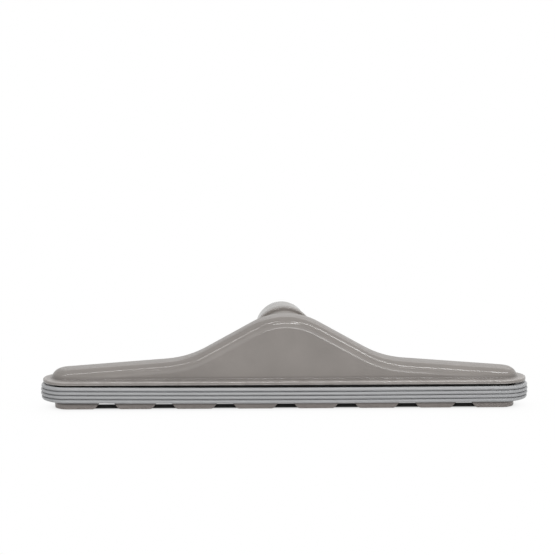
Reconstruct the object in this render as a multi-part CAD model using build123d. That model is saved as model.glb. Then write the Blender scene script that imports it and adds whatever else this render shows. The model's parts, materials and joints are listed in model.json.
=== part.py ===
import os
from math import cos, hypot, radians, tan

from build123d import *

# Plan: every outline is a slot shape with the same two end centres.
END_SPACING = 310.0
BUMPER_R = 20.0
FLANGE_R = 18.4
SLAB_R = 12.3
LIP_OUTER_R = 10.15
SLOT_R = 6.45

# Heights above the floor.
BUMPER_BOTTOM = 6.0
RIB_PITCH = 2.85
RIB_COUNT = 4
BUMPER_GAP = 1.4
FLANGE_THICK = 2.6
FLANGE_TOP_ROUND = 1.0
FLANGE_LOW_ROUND = 0.6

# Hood ridge, seen from the front.
RIDGE_END_HEIGHT = 27.75
RIDGE_WING_ANGLE = 4.3
RIDGE_FLANK_ANGLE = 29.0
CREST_HEIGHT = 66.75
CREST_R = 49.0
FOOT_R = 70.0
TOP_ROUND = 8.0
ROOT_ROUND = 1.5
HOOD_WALL = 3.4
CAVITY_ROUND = 2.4

# Neck, horizontal, pointing to the rear.
NECK_HEIGHT = 44.8
NECK_R = 19.05
NECK_WALL = 3.175
PASSAGE_STEP = 0.475
ROOT_WALL = 3.2
ROOT_FLARE = 1.6
ROOT_FILLET = 2.0
SOCKET_WALL = 3.25
COLLAR_Y = 28.0
COLLAR_LENGTH = 7.7
COLLAR_ROUND = 0.9
NECK_RING = 4.7
GROOVE_WIDTH = 2.4
GROOVE_DEPTH = 1.1
GROOVE_FLOOR = 0.48
TUBE_LENGTH = 35.9
BEVEL_LENGTH = 4.3
BEVEL_LAND = 0.6
SEAT_CHAMFER = 0.5
GUSSET_SPREAD = 34.6
GUSSET_THICK = 3.0
GUSSET_ROUND = 0.8

# Swivel fit.
SWIVEL_RUN = 0.08
SWIVEL_FLOAT = 0.3
SOCKET_FLOOR = 0.5
SNAP_DEPTH = 0.6
SNAP_WIDTH = 1.4
SNAP_Y = 2.6

# Lip frame.
LIP_HEIGHT = 8.5
FRAME_STEP = 0.75
SPIGOT_HEIGHT = 2.6
SPIGOT_CLEAR = 0.1
TONGUE_REACH = 5.2
TONGUE_THICK = 2.5
LIP_ROUND = 0.8
NOTCH_PITCH = 43.5
NOTCH_END_PITCH = 40.8
NOTCH_HEIGHT = 6.0
NOTCH_TOP = 8.2
NOTCH_BOTTOM = 15.2
NOTCH_ROUND = 1.6

# Bumper strip.
STRIP_GAP = 1.05
STRIP_ROUND = 0.7
RIB_RISE = 0.8
SLOT_TIP_CLEAR = 0.4
SEAM_X = -20.0
SEAM_WIDTH = 0.4

# How far a cutting shape runs past what it cuts, and a fused one into its neighbour.
OVERCUT = 5.0
LAP = 1.0

# Tolerance for picking edges and corners by their place.
NEAR = 0.05

half_spacing = END_SPACING / 2
bumper_top = BUMPER_BOTTOM + RIB_PITCH * RIB_COUNT
bumper_mid = (BUMPER_BOTTOM + bumper_top) / 2
flange_bottom = bumper_top + BUMPER_GAP
flange_top = flange_bottom + FLANGE_THICK
cavity_r = SLAB_R - HOOD_WALL
spigot_r = cavity_r - SPIGOT_CLEAR
frame_inner_r = SLOT_R + FRAME_STEP
collar_end = COLLAR_Y + COLLAR_LENGTH
ring_end = collar_end + NECK_RING
tube_start = ring_end + GROOVE_WIDTH
tube_end = tube_start + TUBE_LENGTH
neck_bore_r = NECK_R - NECK_WALL
passage_r = neck_bore_r - PASSAGE_STEP
root_r_hood = passage_r + ROOT_WALL
root_r_collar = root_r_hood + ROOT_FLARE
collar_r = NECK_R + SOCKET_WALL
socket_r = NECK_R + SWIVEL_RUN
socket_start = COLLAR_Y + SOCKET_FLOOR
snap_start = socket_start + SNAP_Y
middle_y = (tube_end - BUMPER_R) / 2

neck_axis = Axis((0, 0, NECK_HEIGHT), (0, 1, 0))
neck_plane = Plane((0, 0, NECK_HEIGHT), x_dir=(0, 1, 0), z_dir=(1, 0, 0))
section_plane = Plane((0, 0, 0), x_dir=(0, 1, 0), z_dir=(1, 0, 0))


def slab(radius, bottom, top):
    outline = SlotCenterToCenter(END_SPACING, 2 * radius)
    return Pos(0, 0, bottom) * extrude(outline, top - bottom)


def ridge(inset):
    """Hood outline from the front, moved inward by inset, standing on the flange underside."""
    flank = tan(radians(RIDGE_FLANK_ANGLE))
    wing = tan(radians(RIDGE_WING_ANGLE))
    crest_rise = CREST_R * (1 / cos(radians(RIDGE_FLANK_ANGLE)) - 1)
    apex = CREST_HEIGHT + crest_rise - inset / cos(radians(RIDGE_FLANK_ANGLE))
    reach = half_spacing + SLAB_R
    end = RIDGE_END_HEIGHT - inset / cos(radians(RIDGE_WING_ANGLE))
    foot_x = (apex - end - wing * reach) / (flank - wing)
    foot_z = apex - flank * foot_x
    face = make_face(
        Polyline(
            (-reach, flange_bottom),
            (-reach, end),
            (-foot_x, foot_z),
            (0, apex),
            (foot_x, foot_z),
            (reach, end),
            (reach, flange_bottom),
            close=True,
        )
    )
    by_height = face.vertices().sort_by(Axis.Y)
    face = fillet(by_height[-1], CREST_R - inset)
    feet = [v for v in face.vertices() if abs(abs(v.X) - foot_x) < NEAR]
    return fillet(feet, FOOT_R + inset)


def arch(inset, rounding):
    """Wings and hump as one solid slab with a rounded top edge."""
    tall = extrude(Plane.XZ * ridge(inset), SLAB_R + OVERCUT, both=True)
    solid = tall & slab(SLAB_R - inset, flange_bottom, CREST_HEIGHT + OVERCUT)
    rim = solid.edges().filter_by(Axis.Y, reverse=True).filter_by(Axis.Z, reverse=True)
    return fillet(rim.filter_by(lambda e: e.center().Z > flange_bottom + NEAR), rounding)


def turned(*points):
    """Solid of revolution about the neck from (distance to the rear, radius) points."""
    return revolve(neck_plane * make_face(Polyline(*points, close=True)), neck_axis)


def ring(profile):
    """Sweeps a (radius, height) profile right round the slot shape."""
    side = extrude(section_plane * profile, half_spacing, both=True)
    centre = (-half_spacing, 0, 0)
    end_plane = Plane(centre, x_dir=(0, 1, 0), z_dir=(1, 0, 0))
    end = revolve(end_plane * profile, Axis(centre, (0, 0, 1)), 180)
    return side + mirror(side, Plane.XZ) + end + mirror(end, Plane.YZ)


def rounds_neck_root(edge):
    """True for an edge where the neck root comes out of the rear wall."""
    spots = [edge.position_at(share) for share in (0.1, 0.5, 0.9)]
    reach = [hypot(spot.X, spot.Z - NECK_HEIGHT) for spot in spots]
    within = min(reach) > root_r_hood - NEAR and max(reach) < root_r_collar - NEAR
    return within and min(spot.Y for spot in spots) > NEAR


def make_hood():
    flange = slab(FLANGE_R, flange_bottom, flange_top)
    flange = fillet(flange.edges().group_by(Axis.Z)[-1], FLANGE_TOP_ROUND)
    flange = fillet(flange.edges().group_by(Axis.Z)[0], FLANGE_LOW_ROUND)
    body = flange + arch(0, TOP_ROUND)
    seam = body.edges().filter_by_position(Axis.Z, flange_top - NEAR, flange_top + NEAR)
    seam = seam.filter_by(lambda e: e.bounding_box().max.Y < SLAB_R + NEAR)
    seam = seam.filter_by(lambda e: e.bounding_box().min.Y > -SLAB_R - NEAR)
    body = fillet(seam, ROOT_ROUND)
    root = turned(
        (0, 0),
        (0, root_r_hood),
        (COLLAR_Y + LAP, root_r_collar),
        (COLLAR_Y + LAP, 0),
    )
    # The root is rounded into the bare wall, so that its edge stays whole where the flange is near.
    wall = arch(0, TOP_ROUND) + root
    body = body + fillet(wall.edges().filter_by(rounds_neck_root), ROOT_FILLET)
    collar = turned((COLLAR_Y, 0), (COLLAR_Y, collar_r), (collar_end, collar_r), (collar_end, 0))
    collar = fillet(collar.edges(), COLLAR_ROUND)
    web = make_face(
        Polyline(
            (-GUSSET_SPREAD, SLAB_R),
            (COLLAR_ROUND - collar_r, COLLAR_Y + LAP),
            (collar_r - COLLAR_ROUND, COLLAR_Y + LAP),
            (GUSSET_SPREAD, SLAB_R),
            (GUSSET_SPREAD, SLAB_R - LAP),
            (-GUSSET_SPREAD, SLAB_R - LAP),
            close=True,
        )
    )
    webs = Pos(0, 0, NECK_HEIGHT - GUSSET_THICK / 2) * extrude(web, GUSSET_THICK)
    slanted = webs.edges().filter_by(lambda e: abs(e.tangent_at(0).X * e.tangent_at(0).Y) > NEAR)
    body = body + collar + fillet(slanted, GUSSET_ROUND)
    snap_r = NECK_R - SNAP_DEPTH
    passage = turned(
        (0, 0),
        (0, passage_r),
        (socket_start, passage_r),
        (socket_start, socket_r),
        (snap_start, socket_r),
        (snap_start, snap_r),
        (snap_start + SNAP_WIDTH, snap_r),
        (snap_start + SNAP_WIDTH, socket_r),
        (collar_end + OVERCUT, socket_r),
        (collar_end + OVERCUT, 0),
    )
    cavity = arch(HOOD_WALL, CAVITY_ROUND)
    return body - cavity - passage


def make_neck():
    start = socket_start + SWIVEL_FLOAT
    groove_r = NECK_R - GROOVE_DEPTH
    groove_mid = (ring_end + tube_start) / 2
    snap_r = NECK_R - SNAP_DEPTH - SWIVEL_FLOAT
    return turned(
        (start, neck_bore_r),
        (start, NECK_R - SEAT_CHAMFER),
        (start + SEAT_CHAMFER, NECK_R),
        (snap_start - SWIVEL_FLOAT, NECK_R),
        (snap_start - SWIVEL_FLOAT, snap_r),
        (snap_start + SNAP_WIDTH + SWIVEL_FLOAT, snap_r),
        (snap_start + SNAP_WIDTH + SWIVEL_FLOAT, NECK_R),
        (ring_end, NECK_R),
        (groove_mid - GROOVE_FLOOR / 2, groove_r),
        (groove_mid + GROOVE_FLOOR / 2, groove_r),
        (tube_start, NECK_R),
        (tube_end - BEVEL_LENGTH, NECK_R),
        (tube_end, neck_bore_r + BEVEL_LAND),
        (tube_end, neck_bore_r),
    )


def make_lip_frame():
    lips = slab(LIP_OUTER_R, 0, flange_bottom) - slab(SLOT_R, -OVERCUT, LIP_HEIGHT)
    lips = lips - slab(frame_inner_r, LIP_HEIGHT, flange_bottom + OVERCUT)
    lips = fillet(lips.edges().group_by(Axis.Z)[0], LIP_ROUND)
    spigot_top = flange_bottom + SPIGOT_HEIGHT
    spigot = slab(spigot_r, flange_bottom - LAP, spigot_top)
    spigot = spigot - slab(frame_inner_r, flange_bottom - OVERCUT, spigot_top + OVERCUT)
    low = bumper_mid - TONGUE_THICK / 2
    tongue = slab(LIP_OUTER_R + TONGUE_REACH, low, low + TONGUE_THICK)
    tongue = tongue - slab(LIP_OUTER_R - LAP, low - OVERCUT, low + TONGUE_THICK + OVERCUT)
    frame = lips + spigot + tongue
    half_top = NOTCH_TOP / 2
    half_bottom = NOTCH_BOTTOM / 2
    wide = half_bottom + 2 * NOTCH_ROUND
    notch = make_face(
        Polyline(
            (-wide, -OVERCUT),
            (wide, -OVERCUT),
            (wide, 0),
            (half_bottom, 0),
            (half_top, NOTCH_HEIGHT),
            (-half_top, NOTCH_HEIGHT),
            (-half_bottom, 0),
            (-wide, 0),
            close=True,
        )
    )
    corners = [v for v in notch.vertices() if abs(v.X) < wide - NEAR]
    notch = fillet(corners, NOTCH_ROUND)
    cutter = extrude(Plane.XZ * notch, LIP_OUTER_R + OVERCUT, both=True)
    last = 2 * NOTCH_PITCH + NOTCH_END_PITCH
    for x in (-last, -2 * NOTCH_PITCH, -NOTCH_PITCH, 0, NOTCH_PITCH, 2 * NOTCH_PITCH, last):
        frame = frame - Pos(x, 0, 0) * cutter
    return frame


def make_bumper():
    inner = LIP_OUTER_R + STRIP_GAP
    face_r = BUMPER_R - RIB_RISE
    section = make_face(
        Polyline(
            (inner, BUMPER_BOTTOM),
            (face_r, BUMPER_BOTTOM),
            (face_r, bumper_top),
            (inner, bumper_top),
            close=True,
        )
    )
    section = fillet([v for v in section.vertices() if v.X < inner + NEAR], STRIP_ROUND)
    for i in range(RIB_COUNT):
        low = BUMPER_BOTTOM + i * RIB_PITCH
        top = (face_r, low + RIB_PITCH)
        rib = ThreePointArc((face_r, low), (BUMPER_R, low + RIB_PITCH / 2), top)
        section = section + make_face([rib, Line(top, (face_r, low))])
    low = bumper_mid - TONGUE_THICK / 2
    tip = LIP_OUTER_R + TONGUE_REACH + SLOT_TIP_CLEAR
    mouth = inner - LAP
    throat = Pos((mouth + tip) / 2, bumper_mid) * Rectangle(tip - mouth, TONGUE_THICK)
    strip = ring(section - throat)
    seam_depth = BUMPER_R + OVERCUT
    seam = Box(SEAM_WIDTH, seam_depth, bumper_top + OVERCUT)
    return strip - Pos(SEAM_X, seam_depth / 2, bumper_mid) * seam


os.makedirs("parts", exist_ok=True)
shift = Pos(0, -middle_y, 0)
for name, part in (
    ("hood", make_hood()),
    ("lip_frame", make_lip_frame()),
    ("bumper_strip", make_bumper()),
    ("neck_tube", make_neck()),
):
    part = shift * part
    part.label = name
    export_step(part, f"parts/{name}.step")
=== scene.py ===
import json
import math

import bmesh
import bpy
from mathutils import Matrix, Vector


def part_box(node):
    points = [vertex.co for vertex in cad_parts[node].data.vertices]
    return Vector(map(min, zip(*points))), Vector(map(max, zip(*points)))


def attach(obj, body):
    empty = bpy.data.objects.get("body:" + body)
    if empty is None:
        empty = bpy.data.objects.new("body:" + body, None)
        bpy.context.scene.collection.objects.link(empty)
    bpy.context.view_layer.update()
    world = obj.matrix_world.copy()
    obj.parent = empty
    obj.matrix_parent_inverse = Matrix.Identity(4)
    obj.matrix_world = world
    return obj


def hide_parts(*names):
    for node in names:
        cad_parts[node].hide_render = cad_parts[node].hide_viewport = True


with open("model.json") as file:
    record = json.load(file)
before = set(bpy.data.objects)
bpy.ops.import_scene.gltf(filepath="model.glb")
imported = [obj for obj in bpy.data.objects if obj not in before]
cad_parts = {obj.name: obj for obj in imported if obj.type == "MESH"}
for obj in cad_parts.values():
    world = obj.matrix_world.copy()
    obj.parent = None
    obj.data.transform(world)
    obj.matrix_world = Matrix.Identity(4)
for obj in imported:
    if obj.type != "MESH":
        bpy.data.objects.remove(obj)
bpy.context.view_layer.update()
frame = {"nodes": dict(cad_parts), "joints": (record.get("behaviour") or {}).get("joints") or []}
scene = bpy.context.scene
scene.view_settings.view_transform = "Standard"

# Lengths are in millimetres, in the tool's own place: x along the head, y to the rear from
# the middle of the lips, z up from the floor. place() turns points into the frame's metres, and
# metres() turns lengths. Only the lamps and the floor are given in the frame's metres.
MM = 0.001


def node_box(name):
    low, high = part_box(name)
    return low / MM, high / MM


strip_low, strip_high = node_box("bumper_strip")
lips_low, lips_high = node_box("lip_frame")
neck_low, neck_high = node_box("neck_tube")
hood_low, _ = node_box("hood")

CENTRE_Y = (strip_low.y + strip_high.y) / 2
STRIP_R = (strip_high.y - strip_low.y) / 2
STRIP_MIDDLE = (strip_low.z + strip_high.z) / 2
STRIP_HALF = (strip_high.z - strip_low.z) / 2
HALF_SPACING = strip_high.x - STRIP_R
FLANGE_BOTTOM = hood_low.z
FLANGE_THICK = 2.6
FLANGE_TOP = FLANGE_BOTTOM + FLANGE_THICK
FLANGE_MIDDLE = FLANGE_BOTTOM + FLANGE_THICK / 2
TONGUE_R = (lips_high.y - lips_low.y) / 2
TONGUE_THICK = 2.5
TONGUE_LOW = STRIP_MIDDLE - TONGUE_THICK / 2
TONGUE_HIGH = STRIP_MIDDLE + TONGUE_THICK / 2
NECK_R = (neck_high.x - neck_low.x) / 2
NECK_HEIGHT = frame["joints"][0]["pos_m"][2] / MM
NECK_START = neck_low.y - CENTRE_Y
NECK_END = neck_high.y - CENTRE_Y

# Bumper strip section. Its rounded edges take the place of the ribbed face's outermost points.
RIB_COUNT = 4
RIB_PITCH = 2 * STRIP_HALF / RIB_COUNT
RIB_RISE = 1.4
RIB_STEPS = 16
GROOVE_SOFTNESS = 0.1
STRIP_INNER_R = 11.2
STRIP_INNER_ROUND = 0.7
STRIP_EDGE_ROUND = 0.5
STRIP_EDGE_POINTS = 2
STRIP_TOP_FALL = 1.6
SLOT_TIP_CLEAR = 0.4

# How the soft strip lies: its edges draw in round the ends, and it sags between them.
TOP_CROWN = 0.6
BOTTOM_CROWN = 0.9
STRIP_SAG = 0.6
STRIP_LIFT = 0.25
STRIP_TILT = 0.17
SEAM_X = -20.0
SEAM_WIDTH = 0.4

# Lip frame section and notches.
LIP_OUTER_R = 10.15
SLOT_R = 6.45
FRAME_INNER_R = 7.2
FRAME_EDGE_ROUND = 0.3
SPIGOT_R = 8.8
LIP_STEP_HEIGHT = 8.5
LIP_STEP_GAP = 0.1
LIP_ROUND = 0.8
NOTCH_PITCH = 43.5
NOTCH_END_PITCH = 40.8
NOTCH_HEIGHT = 6.0
NOTCH_HALF_TOP = 4.1
NOTCH_HALF_BOTTOM = 8.6
NOTCH_SOFTNESS = 2.2
NOTCH_REACH = 12.0
NOTCH_STEP = 0.5
last_notch = 2 * NOTCH_PITCH + NOTCH_END_PITCH
NOTCHES = (-last_notch, -2 * NOTCH_PITCH, -NOTCH_PITCH, 0, NOTCH_PITCH, 2 * NOTCH_PITCH, last_notch)

# Neck tube profile, as distances from its two ends and radii.
NECK_WALL = 3.175
SEAT_CHAMFER = 0.5
SEAT_ROUND = 0.2
SNAP_START = 2.0
SNAP_END = 4.0
SNAP_R_DROP = 0.9
GROOVE_START = 38.3
GROOVE_END = 35.9
GROOVE_FLOOR = 0.48
GROOVE_DEPTH = 1.1
BEVEL_LENGTH = 4.3
BEVEL_LAND = 0.6
BEVEL_ROUND = 1.2
EDGE_ROUND = 0.4
MOUTH_ROUND = 0.3

# Mesh steps, and the most of a side that one rounded corner takes.
SIDE_STEP = 2.5
END_STEPS = 60
LATHE_STEPS = 144
CORNER_STEPS = 5
CORNER_SHARE = 0.45
SHARP_ANGLE = math.radians(32)

# Sockets of Blender's Mix node that carry colours.
MIX_COLOUR_INPUTS = (6, 7)
MIX_COLOUR_OUTPUT = 2

# Noise scales are per metre. A range says which part of the noise is spread over the effect.
MIDDLE_RANGE = (0.3, 0.7)
DRIFT_SCALE = 38
DRIFT_RANGE = (0.32, 0.68)
CLOUD_SCALE = 170
MOULDED_SWING = 0.03
WAVE_SCALE = 65
WAVE_DEPTH = 0.02
GRAIN_SCALE = 1300
GRAIN_DEPTH = 0.002

# Wear on the lips' edge at the floor, and painted shade higher up on them, under the strip.
SCUFF_HEIGHTS = (0.4, 1.6)
SCUFF_SCALE = 420
SCUFF_RANGE = (0.4, 0.6)
SCUFF_SHARES = (0.1, 0.8)
UNDER_STRIP_SHADE_HEIGHTS = (2.6, 4.2)
UNDER_STRIP_SHADE_SHARE = 0.9

# Painted shade in the crease where the hood's wall meets its flange: heights above the flange, and
# distances out.
CREASE_LOW = 0.6
CREASE_HIGH = 3.0
CREASE_SHADE_SHARE = 0.7
CREASE_REACH = (12.9, 14.0)

# Painted highlight along the flange's two edges, in patches: distances out, and distances from the
# flange's middle.
RIM_REACH = (14.5, 18.1)
RIM_INNER_SHARE = 0.3
RIM_EDGE = (0.3, 0.8)
RIM_FADE = 1.8
RIM_SCALE = 160
RIM_RANGE = (0.35, 0.6)
RIM_PATCH_SHARE = 0.45

# The hood's top and ends are duller than the faces that look to the front and the rear.
DULL_RANGE = (0.2, 0.55)
DULL_EXTRA = 0.26

# Extruded vinyl of the strip.
STREAK_SCALE = (7, 7, 1400)
STREAK_DEPTH = 0.03
# Painted shade in the strip's grooves.
GROOVE_SHADE_RANGE = (0.15, 1)
GROOVE_SHADE_SHARE = 0.75
GROOVE_SHADE_CREEP = 0.4
VINYL_CLOUD_SCALE = 90
VINYL_SWING = 0.06
VINYL_WAVE_SCALE = 45
VINYL_WAVE_DEPTH = 0.3

# Camera: a little to the left of the head's front and a little above it.
TARGET = (0.0, 0.0, 20.0)
TARGET_PIXEL = (285.9, 378.2)
FRAME_PIXELS = 555
SENSOR = 36.0
LENS = 126.15
AZIMUTH = -2.6
ELEVATION = 11.55
DISTANCE = 1400.0
ROLL = 0.2
CLIP_START = 50.0
CLIP_END = 50000.0

# Lamps and floor, in metres. The floor's painted shade is full up to the glow's edge and fades from
# there.
HEAD_MIDDLE = (0, 0, 0.03)
HUMP_TOP = (0.0, -0.04, 0.06)
HUMP_FACE = (0.0, -0.03, 0.055)
RIGHT_FLANK = (0.045, -0.04, 0.045)
LEFT_FLANK = (-0.045, -0.04, 0.045)
RIGHT_WING = (0.06, -0.04, 0.03)
LEFT_WING = (-0.11, -0.04, 0.03)
LINE_DISTANCE = 1.4
WORLD_LIGHT = 0.4
FLOOR_SIZE = 16.0
FLOOR_COLOUR = 0.75
SHADE_COLOUR = 0.3
GLOW_EDGE = 0.006
GLOW_POWER = 3.0


def place(x, y, z):
    """A point of the tool, in millimetres, as a point of the frame."""
    return Vector((x, y + CENTRE_Y, z)) * MM


def metres(*lengths):
    return [length * MM for length in lengths]


def soft_max(a, b, softness):
    """The larger of two values, with the corner between them rounded."""
    overlap = max(softness - abs(a - b), 0.0) / softness
    return max(a, b) + overlap * overlap * softness / 4


def soft_min(a, b, softness):
    return -soft_max(-a, -b, softness)


def rounded(corners):
    """Closed outline from (u, v, radius) corners, each corner drawn as a short curve."""
    outline = []
    count = len(corners)
    for i, (u, v, radius) in enumerate(corners):
        here = Vector((u, v))
        back = Vector(corners[i - 1][:2]) - here
        ahead = Vector(corners[(i + 1) % count][:2]) - here
        if radius == 0:
            outline.append(here)
            continue
        half = back.angle(ahead) / 2
        run = min(radius / math.tan(half), CORNER_SHARE * back.length, CORNER_SHARE * ahead.length)
        first = here + back.normalized() * run
        final = here + ahead.normalized() * run
        for step in range(CORNER_STEPS + 1):
            t = step / CORNER_STEPS
            outline.append(first.lerp(here, t).lerp(here.lerp(final, t), t))
    return outline


def round_trip(side_x):
    """Stations (core x, outward x, outward y) round the slot shape: rear, right, front, left."""
    turns = [math.pi * (0.5 - step / END_STEPS) for step in range(1, END_STEPS)]
    rear = [(x, 0.0, 1.0) for x in side_x]
    right = [(HALF_SPACING, math.cos(turn), math.sin(turn)) for turn in turns]
    front = [(x, 0.0, -1.0) for x in reversed(side_x)]
    left = [(-HALF_SPACING, -math.cos(turn), -math.sin(turn)) for turn in turns]
    return rear + right + front + left


def spread(start, stop, step):
    """Evenly spaced values from start up to stop, both included, about one step apart."""
    count = max(1, round((stop - start) / step))
    return [start + (stop - start) * i / count for i in range(count + 1)]


def finish_mesh(name, rings, closed):
    """Piece from the rings of a sweep, smooth apart from its sharp edges."""
    mesh = bpy.data.meshes.new(name)
    mesh.from_pydata([point for ring in rings for point in ring], [], stitch(rings, closed))
    shape = bmesh.new()
    shape.from_mesh(mesh)
    bmesh.ops.recalc_face_normals(shape, faces=shape.faces)
    shape.to_mesh(mesh)
    shape.free()
    mesh.shade_smooth()
    mesh.set_sharp_from_angle(angle=SHARP_ANGLE)
    piece = bpy.data.objects.new(name, mesh)
    scene.collection.objects.link(piece)
    return piece


def stitch(rings, closed):
    """Faces between neighbouring rings of a sweep, with its two ends filled if it is open."""
    count = len(rings[0])
    total = len(rings)
    faces = []
    for i in range(total if closed else total - 1):
        here = i * count
        there = (i + 1) % total * count
        for j in range(count):
            k = (j + 1) % count
            faces.append((here + j, here + k, there + k, there + j))
    if not closed:
        faces.append(range(count))
        faces.append(range((total - 1) * count, total * count))
    return faces


def sweep(name, stations, section, closed):
    """Piece swept round the head; section(core, outward x) gives its (outward, height) outline."""
    rings = []
    for core, outward_x, outward_y in stations:
        outline = section(core, outward_x)
        rings.append([place(core + out * outward_x, out * outward_y, z) for out, z in outline])
    return finish_mesh(name, rings, closed)


def ribbed_face():
    """Outer face of the bumper strip from bottom to top: rounded ribs with soft grooves."""
    rib_r = (RIB_PITCH**2 / 4 + RIB_RISE**2) / (2 * RIB_RISE)
    points = []
    for z in spread(strip_low.z, strip_high.z, RIB_PITCH / RIB_STEPS):
        reach = 0.0
        for rib in range(RIB_COUNT):
            away = z - strip_low.z - (rib + 0.5) * RIB_PITCH
            out = STRIP_R - rib_r + math.sqrt(max(rib_r**2 - away**2, 0.0))
            reach = soft_max(reach, out, GROOVE_SOFTNESS)
        points.append((min(reach, STRIP_R), z))
    return points


def strip_outline():
    tip = TONGUE_R + SLOT_TIP_CLEAR
    face = ribbed_face()
    corners = [
        (face[-1][0], strip_high.z, STRIP_EDGE_ROUND),
        (STRIP_INNER_R, strip_high.z - STRIP_TOP_FALL, STRIP_INNER_ROUND),
        (STRIP_INNER_R, TONGUE_HIGH, 0),
        (tip, TONGUE_HIGH, 0),
        (tip, TONGUE_LOW, 0),
        (STRIP_INNER_R, TONGUE_LOW, 0),
        (STRIP_INNER_R, strip_low.z, STRIP_INNER_ROUND),
        (face[0][0], strip_low.z, STRIP_EDGE_ROUND),
        *[(out, z, 0) for out, z in face[STRIP_EDGE_POINTS:-STRIP_EDGE_POINTS]],
    ]
    return rounded(corners)


def groove_depths(outline):
    """How deep in a groove each point of the strip's outline lies, from 0 to 1: the mask of the painted
    shade in the grooves.

    On the sides of a groove that face up, the painted shade reaches nearer to the rib's crown, as a
    painted shadow of the rib above."""
    depths = []
    for out, z in outline:
        depth = min(max((STRIP_R - out) / RIB_RISE, 0.0), 1.0)
        if (z - strip_low.z) % RIB_PITCH > RIB_PITCH / 2:
            depth **= GROOVE_SHADE_CREEP
        between_ribs = abs(z - STRIP_MIDDLE) < STRIP_HALF - RIB_PITCH / 2
        depths.append(depth if between_ribs else 0.0)
    return depths


def make_strip():
    """Ribbed strip round the rim, open at its seam, with its groove depths as an attribute that masks
    the painted groove shade.
    """
    outline = strip_outline()

    def section(core, outward_x):
        along = core / HALF_SPACING
        lift = STRIP_LIFT - STRIP_SAG * (1 - along * along) - STRIP_TILT * along
        points = []
        for out, z in outline:
            level = (z - STRIP_MIDDLE) / STRIP_HALF
            share = (out - STRIP_INNER_R) / (STRIP_R - STRIP_INNER_R)
            crown = TOP_CROWN if level > 0 else BOTTOM_CROWN
            drawn_in = crown * outward_x**2 * level**2 * share
            points.append((out - drawn_in, z + lift))
        return points

    left_run = spread(-HALF_SPACING, SEAM_X - SEAM_WIDTH / 2, SIDE_STEP)
    right_run = spread(SEAM_X + SEAM_WIDTH / 2, HALF_SPACING, SIDE_STEP)
    stations = round_trip(left_run + right_run)
    start = len(left_run)
    stations = stations[start:] + stations[:start]
    strip = sweep("bumper_ribbed_strip", stations, section, closed=False)
    groove = strip.data.attributes.new("groove", "FLOAT", "POINT")
    groove.data.foreach_set("value", groove_depths(outline) * len(stations))
    return strip


def notch_rise(x):
    """Height of the lips' lower edge above the floor: flat roofed notches with sloping sides."""
    away = min(abs(x - notch) for notch in NOTCHES)
    if away > NOTCH_REACH:
        return 0.0
    slope = NOTCH_HEIGHT * (NOTCH_HALF_BOTTOM - away) / (NOTCH_HALF_BOTTOM - NOTCH_HALF_TOP)
    return soft_min(soft_max(slope, 0.0, NOTCH_SOFTNESS), NOTCH_HEIGHT, NOTCH_SOFTNESS)


def make_lips():
    """Slotted sole whose lower edge rises at the notches, with a tongue for the strip."""
    wall_low = 2 * LIP_ROUND
    wall_high = LIP_STEP_HEIGHT - LIP_STEP_GAP
    outline = rounded(
        [
            (LIP_OUTER_R, TONGUE_LOW, 0),
            (TONGUE_R, TONGUE_LOW, FRAME_EDGE_ROUND),
            (TONGUE_R, TONGUE_HIGH, FRAME_EDGE_ROUND),
            (LIP_OUTER_R, TONGUE_HIGH, 0),
            (LIP_OUTER_R, FLANGE_BOTTOM, 0),
            (SPIGOT_R, FLANGE_BOTTOM, 0),
            (SPIGOT_R, lips_high.z, FRAME_EDGE_ROUND),
            (FRAME_INNER_R, lips_high.z, FRAME_EDGE_ROUND),
            (FRAME_INNER_R, LIP_STEP_HEIGHT, 0),
            (SLOT_R, LIP_STEP_HEIGHT, FRAME_EDGE_ROUND),
            (SLOT_R, wall_low, 0),
            (SLOT_R, 0.0, LIP_ROUND),
            (LIP_OUTER_R, 0.0, LIP_ROUND),
            (LIP_OUTER_R, wall_low, 0),
            (LIP_OUTER_R, wall_high, 0),
        ]
    )

    def section(core, outward_x):
        rise = notch_rise(core) if outward_x == 0 else 0.0
        points = []
        for out, z in outline:
            share = (LIP_STEP_HEIGHT - z) / (LIP_STEP_HEIGHT - LIP_ROUND)
            points.append((out, z + rise * min(max(share, 0.0), 1.0)))
        return points

    side_x = []
    edge = -HALF_SPACING
    for notch in NOTCHES:
        side_x += spread(edge, notch - NOTCH_REACH, SIDE_STEP)[:-1]
        side_x += spread(notch - NOTCH_REACH, notch + NOTCH_REACH, NOTCH_STEP)[:-1]
        edge = notch + NOTCH_REACH
    side_x += spread(edge, HALF_SPACING, SIDE_STEP)
    return sweep("notched_lips", round_trip(side_x), section, closed=True)


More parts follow.
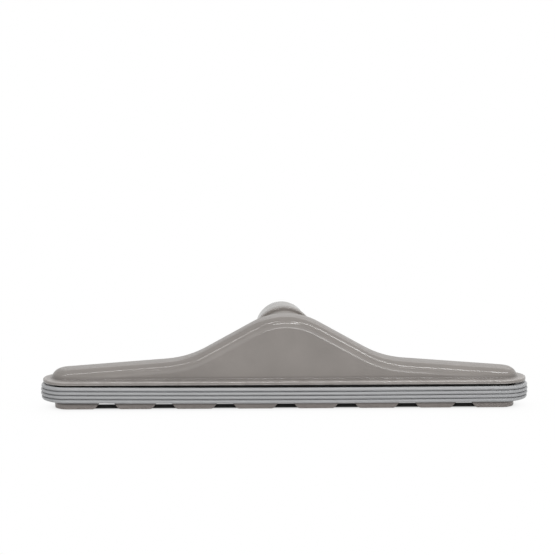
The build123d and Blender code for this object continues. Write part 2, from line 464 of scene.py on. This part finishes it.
def make_neck():
    """Tube turned about its own axis, with its snap groove, V groove and bevelled mouth."""
    bore_r = NECK_R - NECK_WALL
    snap_r = NECK_R - SNAP_R_DROP
    groove_r = NECK_R - GROOVE_DEPTH
    groove_start = NECK_END - GROOVE_START
    groove_end = NECK_END - GROOVE_END
    groove_mid = (groove_start + groove_end) / 2
    outline = rounded(
        [
            (NECK_START, bore_r, SEAT_ROUND),
            (NECK_START, NECK_R - SEAT_CHAMFER, 0),
            (NECK_START + SEAT_CHAMFER, NECK_R, 0),
            (NECK_START + SNAP_START, NECK_R, 0),
            (NECK_START + SNAP_START, snap_r, 0),
            (NECK_START + SNAP_END, snap_r, 0),
            (NECK_START + SNAP_END, NECK_R, 0),
            (groove_start, NECK_R, EDGE_ROUND),
            (groove_mid - GROOVE_FLOOR / 2, groove_r, EDGE_ROUND),
            (groove_mid + GROOVE_FLOOR / 2, groove_r, EDGE_ROUND),
            (groove_end, NECK_R, EDGE_ROUND),
            (NECK_END - BEVEL_LENGTH, NECK_R, BEVEL_ROUND),
            (NECK_END, bore_r + BEVEL_LAND, MOUTH_ROUND),
            (NECK_END, bore_r, MOUTH_ROUND),
        ]
    )
    rings = []
    for step in range(LATHE_STEPS):
        turn = 2 * math.pi * step / LATHE_STEPS
        across = math.sin(turn)
        up = math.cos(turn)
        rings.append([place(r * across, y, NECK_HEIGHT + r * up) for y, r in outline])
    return finish_mesh("swivel_neck", rings, closed=True)


def node(tree, kind, settings=None, **sockets):
    """Adds a shader node; a socket is given a value or another node's output."""
    made = tree.nodes.new("ShaderNode" + kind)
    for name, value in (settings or {}).items():
        setattr(made, name, value)
    for name, value in sockets.items():
        give(tree, made.inputs[name], value)
    return made


def give(tree, socket, value):
    """Sets a socket to a value, or links another node's output to it."""
    if isinstance(value, bpy.types.NodeSocket):
        tree.links.new(value, socket)
    else:
        socket.default_value = value


def math_node(tree, operation, *values):
    made = node(tree, "Math", {"operation": operation})
    for socket, value in zip(made.inputs, values):
        give(tree, socket, value)
    return made.outputs[0]


def noise(tree, coords, scale, detail):
    return node(tree, "TexNoise", Vector=coords, Scale=scale, Detail=detail).outputs["Fac"]


def fit_range(tree, value, source, target):
    """Value carried from the source range to the target range, and held at the ends."""
    made = node(tree, "MapRange", Value=value)
    for name, limit in zip(("From Min", "From Max", "To Min", "To Max"), (*source, *target)):
        made.inputs[name].default_value = limit
    return made.outputs["Result"]


def blend(tree, factor, first, second):
    """Colour between two colours or colour outputs."""
    made = node(tree, "Mix", {"data_type": "RGBA"})
    tree.links.new(factor, made.inputs[0])
    for index, colour in zip(MIX_COLOUR_INPUTS, (first, second)):
        if not isinstance(colour, bpy.types.NodeSocket):
            colour = (*colour, 1)
        give(tree, made.inputs[index], colour)
    return made.outputs[MIX_COLOUR_OUTPUT]


def bump(tree, height, depth, normal=None):
    made = node(tree, "Bump", Height=height, Distance=depth * MM, Strength=1.0)
    if normal is not None:
        tree.links.new(normal, made.inputs["Normal"])
    return made.outputs["Normal"]


def core_distance(tree, spot):
    """Level distance from the line between the middles of the head's two round ends."""
    along = math_node(tree, "ABSOLUTE", spot.outputs["X"])
    past_end = math_node(tree, "MAXIMUM", math_node(tree, "SUBTRACT", along, HALF_SPACING * MM), 0.0)
    across = math_node(tree, "SUBTRACT", spot.outputs["Y"], CENTRE_Y * MM)
    offset = node(tree, "CombineXYZ", X=past_end, Y=across).outputs[0]
    return node(tree, "VectorMath", {"operation": "LENGTH"}, Vector=offset).outputs["Value"]


def new_material(name):
    material = bpy.data.materials.new(name)
    material.use_nodes = True
    tree = material.node_tree
    return material, tree, tree.nodes["Principled BSDF"]


def scuffed(tree, coords, colour, scuff):
    """Patchy wear on the edge that stands on the floor."""
    height = node(tree, "SeparateXYZ", Vector=coords).outputs["Z"]
    low = fit_range(tree, height, metres(*SCUFF_HEIGHTS), (1, 0))
    patches = fit_range(tree, noise(tree, coords, SCUFF_SCALE, detail=4), SCUFF_RANGE, SCUFF_SHARES)
    return blend(tree, math_node(tree, "MULTIPLY", low, patches), colour, scuff)


def shade_under_strip(tree, coords, colour, under_strip_shade):
    """Painted shade up under the strip, darkest on the seat behind it."""
    height = node(tree, "SeparateXYZ", Vector=coords).outputs["Z"]
    seat = fit_range(tree, height, metres(STRIP_MIDDLE, strip_high.z), (0, 1))
    under_strip = fit_range(tree, height, metres(*UNDER_STRIP_SHADE_HEIGHTS), (0, UNDER_STRIP_SHADE_SHARE))
    return blend(tree, under_strip, blend(tree, seat, colour, under_strip_shade), under_strip_shade)


def crease_shaded(tree, spot, reach, colour, crease):
    """Painted shade in the corner where the hood's wall meets its flange."""
    heights = metres(FLANGE_TOP + CREASE_LOW, FLANGE_TOP + CREASE_HIGH)
    low = fit_range(tree, spot.outputs["Z"], heights, (CREASE_SHADE_SHARE, 0))
    inside = fit_range(tree, reach, metres(*CREASE_REACH), (1, 0))
    return blend(tree, math_node(tree, "MULTIPLY", low, inside), colour, crease)


def painted_rim_highlight(tree, coords, spot, reach, colour, rim):
    """Patchy painted highlight along the upper and lower edge of the flange."""
    outside = fit_range(tree, reach, metres(*RIM_REACH), (RIM_INNER_SHARE, 1))
    height = math_node(tree, "SUBTRACT", spot.outputs["Z"], FLANGE_MIDDLE * MM)
    from_middle = math_node(tree, "ABSOLUTE", height)
    near_edge = fit_range(tree, from_middle, metres(*RIM_EDGE), (0, 1))
    on_flange = fit_range(tree, from_middle, metres(FLANGE_THICK / 2, RIM_FADE), (1, 0))
    patches = fit_range(tree, noise(tree, coords, RIM_SCALE, detail=4), RIM_RANGE, (RIM_PATCH_SHARE, 1))
    lit_edges = math_node(tree, "MULTIPLY", math_node(tree, "MULTIPLY", outside, near_edge), on_flange)
    return blend(tree, math_node(tree, "MULTIPLY", lit_edges, patches), colour, rim)


def dulled(tree, rough):
    """Roughness with more of it where a face looks neither to the front nor to the rear."""
    normal = node(tree, "TexCoord").outputs["Normal"]
    facing = node(tree, "SeparateXYZ", Vector=normal).outputs["Y"]
    extra = fit_range(tree, math_node(tree, "ABSOLUTE", facing), DULL_RANGE, (DULL_EXTRA, 0))
    return math_node(tree, "ADD", rough, extra)


def moulded(name, dark, light, roughness, scuff=None, under_strip_shade=None, rim=None, crease=None):
    """Moulded plastic: faint colour drift, fine grain and the shallow waves of a thin wall.

    The scuff colour is wear on the lips, and the under-strip shade colour is painted shade on them. The
    rim colour is a painted highlight along the hood's flange, and the crease colour is painted shade in
    its corner; they come with the hood's duller top and ends."""
    material, tree, shader = new_material(name)
    coords = node(tree, "TexCoord").outputs["Object"]
    drift = fit_range(tree, noise(tree, coords, DRIFT_SCALE, detail=3), DRIFT_RANGE, (0, 1))
    colour = blend(tree, drift, dark, light)
    swing = (roughness - MOULDED_SWING, roughness + MOULDED_SWING)
    rough = fit_range(tree, noise(tree, coords, CLOUD_SCALE, detail=3), MIDDLE_RANGE, swing)
    if scuff:
        colour = scuffed(tree, coords, colour, scuff)
    if under_strip_shade:
        colour = shade_under_strip(tree, coords, colour, under_strip_shade)
    if rim:
        spot = node(tree, "SeparateXYZ", Vector=coords)
        reach = core_distance(tree, spot)
        colour = crease_shaded(tree, spot, reach, colour, crease)
        colour = painted_rim_highlight(tree, coords, spot, reach, colour, rim)
        rough = dulled(tree, rough)
    tree.links.new(colour, shader.inputs["Base Color"])
    tree.links.new(rough, shader.inputs["Roughness"])
    waves = bump(tree, noise(tree, coords, WAVE_SCALE, detail=1), WAVE_DEPTH)
    grain = bump(tree, noise(tree, coords, GRAIN_SCALE, detail=3), GRAIN_DEPTH, waves)
    tree.links.new(grain, shader.inputs["Normal"])
    return material


def extruded(name, dark, light, roughness, groove_shade):
    """Extruded vinyl: faint streaks along the strip, painted shade in its grooves and a satin skin."""
    material, tree, shader = new_material(name)
    coords = node(tree, "TexCoord").outputs["Object"]
    stretched = node(tree, "Mapping", Vector=coords, Scale=STREAK_SCALE).outputs["Vector"]
    streaks = noise(tree, stretched, 1.0, detail=3)
    colour = blend(tree, fit_range(tree, streaks, MIDDLE_RANGE, (0, 1)), dark, light)
    groove = node(tree, "Attribute", {"attribute_name": "groove"}).outputs["Fac"]
    colour = blend(tree, fit_range(tree, groove, GROOVE_SHADE_RANGE, (0, GROOVE_SHADE_SHARE)), colour, groove_shade)
    tree.links.new(colour, shader.inputs["Base Color"])
    swing = (roughness - VINYL_SWING, roughness + VINYL_SWING)
    rough = fit_range(tree, noise(tree, coords, VINYL_CLOUD_SCALE, detail=3), MIDDLE_RANGE, swing)
    tree.links.new(rough, shader.inputs["Roughness"])
    waves = bump(tree, noise(tree, coords, VINYL_WAVE_SCALE, detail=2), VINYL_WAVE_DEPTH)
    lines = bump(tree, streaks, STREAK_DEPTH, waves)
    tree.links.new(lines, shader.inputs["Normal"])
    return material


def toward(azimuth, elevation):
    """Direction from the object, in degrees round from its front and up from the floor."""
    turn = math.radians(azimuth)
    rise = math.radians(elevation)
    flat = math.cos(rise)
    return Vector((flat * math.sin(turn), -flat * math.cos(turn), math.sin(rise)))


def aimed(direction, roll):
    """Rotation that looks along a direction, rolled by some degrees about it."""
    facing = direction.to_track_quat("-Z", "Y").to_matrix()
    return (facing @ Matrix.Rotation(math.radians(roll), 3, "Z")).to_euler()


def add_camera():
    """Camera at its direction from the target, turned so that the target falls on its pixel."""
    focal = LENS / SENSOR * FRAME_PIXELS
    middle = FRAME_PIXELS / 2
    yaw = -math.radians(AZIMUTH) - math.atan((TARGET_PIXEL[0] - middle) / focal)
    pitch = math.atan((TARGET_PIXEL[1] - middle) / focal) - math.radians(ELEVATION)
    flat = math.cos(pitch)
    ahead = Vector((math.sin(yaw) * flat, math.cos(yaw) * flat, math.sin(pitch)))
    data = bpy.data.cameras.new("camera")
    data.lens = LENS
    data.sensor_width = SENSOR
    data.clip_start = CLIP_START * MM
    data.clip_end = CLIP_END * MM
    camera = bpy.data.objects.new("camera", data)
    camera.location = place(*TARGET) + toward(AZIMUTH, ELEVATION) * DISTANCE * MM
    camera.rotation_euler = aimed(ahead, ROLL)
    scene.collection.objects.link(camera)
    scene.camera = camera


def add_area(name, spot, aim, size, power, roll=0):
    data = bpy.data.lights.new(name, "AREA")
    data.shape = "RECTANGLE"
    data.size, data.size_y = size
    data.energy = power
    lamp = bpy.data.objects.new(name, data)
    lamp.location = spot
    lamp.rotation_euler = aimed(Vector(aim) - Vector(spot), roll)
    scene.collection.objects.link(lamp)


def add_line(name, aim, azimuth, elevation, size, power, roll=0):
    """Narrow lamp that draws a highlight line; its direction is seen from the point it lights."""
    spot = Vector(aim) + toward(azimuth, elevation) * LINE_DISTANCE
    add_area(name, spot, aim, size, power, roll)


def seen_directly(tree):
    """1 for rays from the camera, a mirror or glass, and 0 for rays that only carry light."""
    path = node(tree, "LightPath")
    seen = path.outputs["Is Camera Ray"]
    for name in ("Is Glossy Ray", "Is Transmission Ray"):
        seen = math_node(tree, "MAXIMUM", seen, path.outputs[name])
    return seen


def add_world():
    """World that is seen as white, but lights the object less than that."""
    world = bpy.data.worlds.new("studio")
    scene.world = world
    world.use_nodes = True
    tree = world.node_tree
    background = tree.nodes["Background"]
    background.inputs["Color"].default_value = (1, 1, 1, 1)
    strength = fit_range(tree, seen_directly(tree), (0, 1), (WORLD_LIGHT, 1))
    tree.links.new(strength, background.inputs["Strength"])


def add_floor():
    """White floor that keeps the real shadow near the head, painted darker there as painted shade, and
    turns plain white further away.
    """
    half = FLOOR_SIZE / 2
    mesh = bpy.data.meshes.new("floor")
    corners = [(-half, -half, 0), (half, -half, 0), (half, half, 0), (-half, half, 0)]
    mesh.from_pydata(corners, [], [(0, 1, 2, 3)])
    floor = bpy.data.objects.new("floor", mesh)
    scene.collection.objects.link(floor)
    material = bpy.data.materials.new("floor")
    material.use_nodes = True
    mesh.materials.append(material)
    tree = material.node_tree
    tree.nodes.clear()
    spot = node(tree, "SeparateXYZ", Vector=node(tree, "TexCoord").outputs["Object"])
    near = math_node(tree, "DIVIDE", GLOW_EDGE, core_distance(tree, spot))
    shade = math_node(tree, "MINIMUM", math_node(tree, "POWER", near, GLOW_POWER), 1.0)
    plain = node(tree, "BsdfDiffuse", Color=(FLOOR_COLOUR, FLOOR_COLOUR, FLOOR_COLOUR, 1))
    # Near the head the floor is seen darker than the floor that carries light: painted shade over the
    # real shadow.
    shaded = node(tree, "BsdfDiffuse", Color=math_node(tree, "MULTIPLY", shade, SHADE_COLOUR))
    white = node(tree, "Emission", Strength=math_node(tree, "SUBTRACT", 1.0, shade))
    shown = node(tree, "AddShader")
    tree.links.new(shaded.outputs[0], shown.inputs[0])
    tree.links.new(white.outputs[0], shown.inputs[1])
    mixed = node(tree, "MixShader", Fac=seen_directly(tree))
    tree.links.new(plain.outputs[0], mixed.inputs[1])
    tree.links.new(shown.outputs[0], mixed.inputs[2])
    output = node(tree, "OutputMaterial")
    tree.links.new(mixed.outputs[0], output.inputs["Surface"])


add_camera()
add_world()
add_floor()

# One broad fill in front, narrow lamps for the highlight lines along the hood, and light from
# above and behind.
add_area("fill", (-0.2, -1.9, 0.42), HEAD_MIDDLE, size=(3.0, 0.8), power=5.2)
add_line("front_line", HUMP_TOP, azimuth=4, elevation=39, size=(0.5, 0.055), power=2.7)
add_line("right_line", RIGHT_WING, azimuth=32, elevation=58, size=(0.6, 0.06), power=2.6)
add_line("right_flank", RIGHT_FLANK, azimuth=63, elevation=49, size=(0.58, 0.11), power=2.1, roll=-15)
add_line("left_flank", LEFT_FLANK, azimuth=-46, elevation=47, size=(0.4, 0.12), power=1.1, roll=20)
add_line("left_line", LEFT_WING, azimuth=-20, elevation=63, size=(0.42, 0.06), power=1.2)
add_area("low_line", (0.07, -0.55, 0.06), HUMP_FACE, size=(0.21, 0.03), power=0.15)
add_area("top", (0.2, 0.2, 1.7), HEAD_MIDDLE, size=(2.4, 2.0), power=1)
add_area("back", (0.4, 1.5, 1.7), HEAD_MIDDLE, size=(2.4, 1.0), power=9)

hood_plastic = moulded(
    "hood_plastic",
    dark=(0.242, 0.221, 0.205),
    light=(0.27, 0.247, 0.229),
    roughness=0.12,
    # Painted highlight along the flange's upper and lower edges.
    rim=(0.42, 0.393, 0.375),
    # Painted shade in the corner just above the flange.
    crease=(0.13, 0.115, 0.105),
)
neck_plastic = moulded(
    "neck_plastic",
    dark=(0.272, 0.258, 0.242),
    light=(0.303, 0.288, 0.27),
    roughness=0.2,
)
# The lips' colour is lighter than the hood's: painted light that makes up for the shade under the
# strip.
lip_plastic = moulded(
    "lip_plastic",
    dark=(0.36, 0.32, 0.3),
    light=(0.395, 0.352, 0.33),
    roughness=0.38,
    scuff=(0.5, 0.455, 0.43),
    # Near-black painted shade up under the strip and on the seat behind it.
    under_strip_shade=(0.01, 0.009, 0.009),
)
strip_vinyl = extruded(
    "strip_vinyl",
    dark=(0.372, 0.377, 0.384),
    light=(0.432, 0.437, 0.444),
    roughness=0.34,
    # Painted shade in the grooves.
    groove_shade=(0.1, 0.1, 0.105),
)

hood = frame["nodes"]["hood"].data
hood.materials.clear()
hood.materials.append(hood_plastic)

for piece, body, replaced, material in (
    (make_strip(), "head", "bumper_strip", strip_vinyl),
    (make_lips(), "head", "lip_frame", lip_plastic),
    (make_neck(), "neck", "neck_tube", neck_plastic),
):
    piece.data.materials.append(material)
    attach(piece, body)
    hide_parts(replaced)
